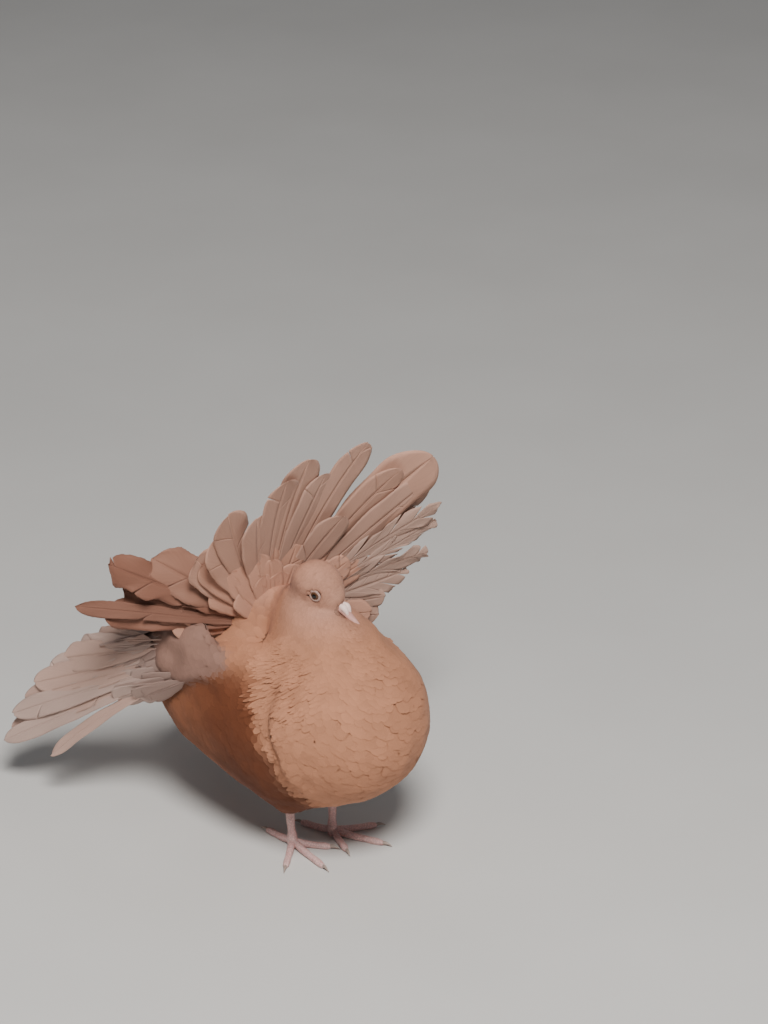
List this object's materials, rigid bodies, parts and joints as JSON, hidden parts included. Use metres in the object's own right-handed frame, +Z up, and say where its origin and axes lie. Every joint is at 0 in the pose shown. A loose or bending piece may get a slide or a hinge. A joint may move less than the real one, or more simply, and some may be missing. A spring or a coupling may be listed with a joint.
{
  "type": "fantail pigeon",
  "caption": "Standing fantail pigeon with a ball-shaped puffed breast, head drawn back, drooping folded wings and a ragged upright fan of a tail.",
  "frame": {"origin": "on the floor below the middle of the bounding box", "axes": "+Z up, -Y towards the bird's front, +X towards the bird's left"},
  "size_m": [0.2246, 0.2938, 0.2806],
  "materials": {
    "body_feathers": "matt red-buff body feathers",
    "head_feathers": "fine matt feathers, paler and pinker than the body",
    "wing_feathers": "smooth pale flight feathers",
    "tail_feathers": "smooth pale tail feathers",
    "leg_skin": "scaly pink skin",
    "claw": "horn",
    "bill": "smooth pale flesh-coloured horn",
    "cere": "powdery white skin",
    "eye": "wet dark brown"
  },
  "bodies": {
    "root": {"head": "head_feathers", "neck": "body_feathers", "breast": "body_feathers", "shoulders": "body_feathers", "back": "body_feathers", "vent": "body_feathers", "rump": "body_feathers", "thigh_right": "body_feathers", "thigh_left": "body_feathers", "eye_right": "eye", "eye_left": "eye", "bill_upper": "bill", "bill_lower": "bill", "cere": "cere", "tail_right_low": "tail_feathers", "tail_right_high": "tail_feathers", "tail_top_right": "tail_feathers", "tail_top_left": "tail_feathers", "tail_left_high": "tail_feathers", "tail_left_low": "tail_feathers", "wing_right_coverts": "wing_feathers", "wing_left_coverts": "wing_feathers", "wing_right_primaries": "wing_feathers", "wing_left_primaries": "wing_feathers", "wing_right_secondaries": "wing_feathers", "wing_left_secondaries": "wing_feathers", "shank_right": "leg_skin", "foot_right": "leg_skin", "claw_right_outer": "claw", "claw_right_middle": "claw", "claw_right_inner": "claw", "claw_right_hind": "claw", "shank_left": "leg_skin", "foot_left": "leg_skin", "claw_left_outer": "claw", "claw_left_middle": "claw", "claw_left_inner": "claw", "claw_left_hind": "claw"}
  },
  "joints": []
}
